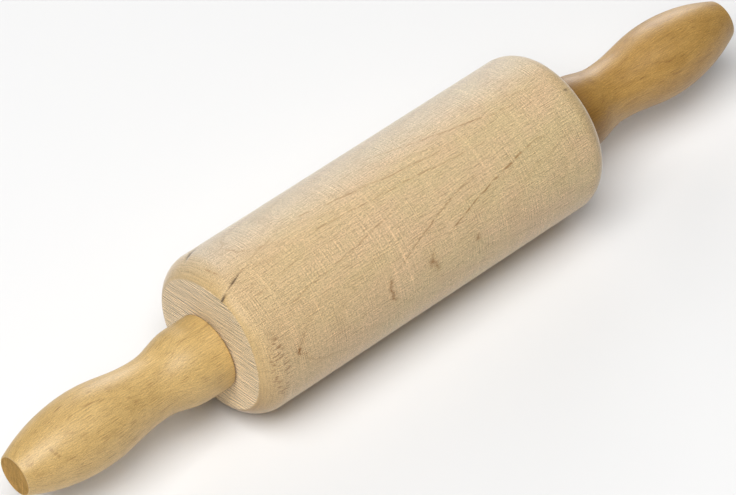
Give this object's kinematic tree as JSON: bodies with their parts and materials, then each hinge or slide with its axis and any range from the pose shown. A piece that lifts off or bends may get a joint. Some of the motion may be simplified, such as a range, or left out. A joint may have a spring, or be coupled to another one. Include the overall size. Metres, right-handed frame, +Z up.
{
  "type": "rolling pin",
  "caption": "Handled wooden rolling pin: a stout barrel with rounded ends spins on a dowel axle between two waisted, lacquered grips.",
  "frame": {"origin": "on the worktop, straight below the middle of the barrel, which is the bottom centre of the bounding box", "axes": "+X along the pin towards the right grip, +Z up from the worktop, +Y across the worktop"},
  "size_m": [0.3218, 0.06, 0.06],
  "materials": {
    "bare_beech": "bare turned beech, finely sanded, matte",
    "axle_beech": "bare beech dowel, matte",
    "lacquered_beech": "clear satin lacquer, honey coloured"
  },
  "bodies": {
    "grips": {"left_grip": "lacquered_beech", "axle": "axle_beech", "right_grip": "lacquered_beech"},
    "barrel": {"barrel": "bare_beech"}
  },
  "joints": [
    {"name": "barrel_spin", "type": "hinge", "parent": "grips", "child": "barrel", "pos_m": [0, 0, 0.03], "axis": [1, 0, 0], "continuous": true}
  ]
}
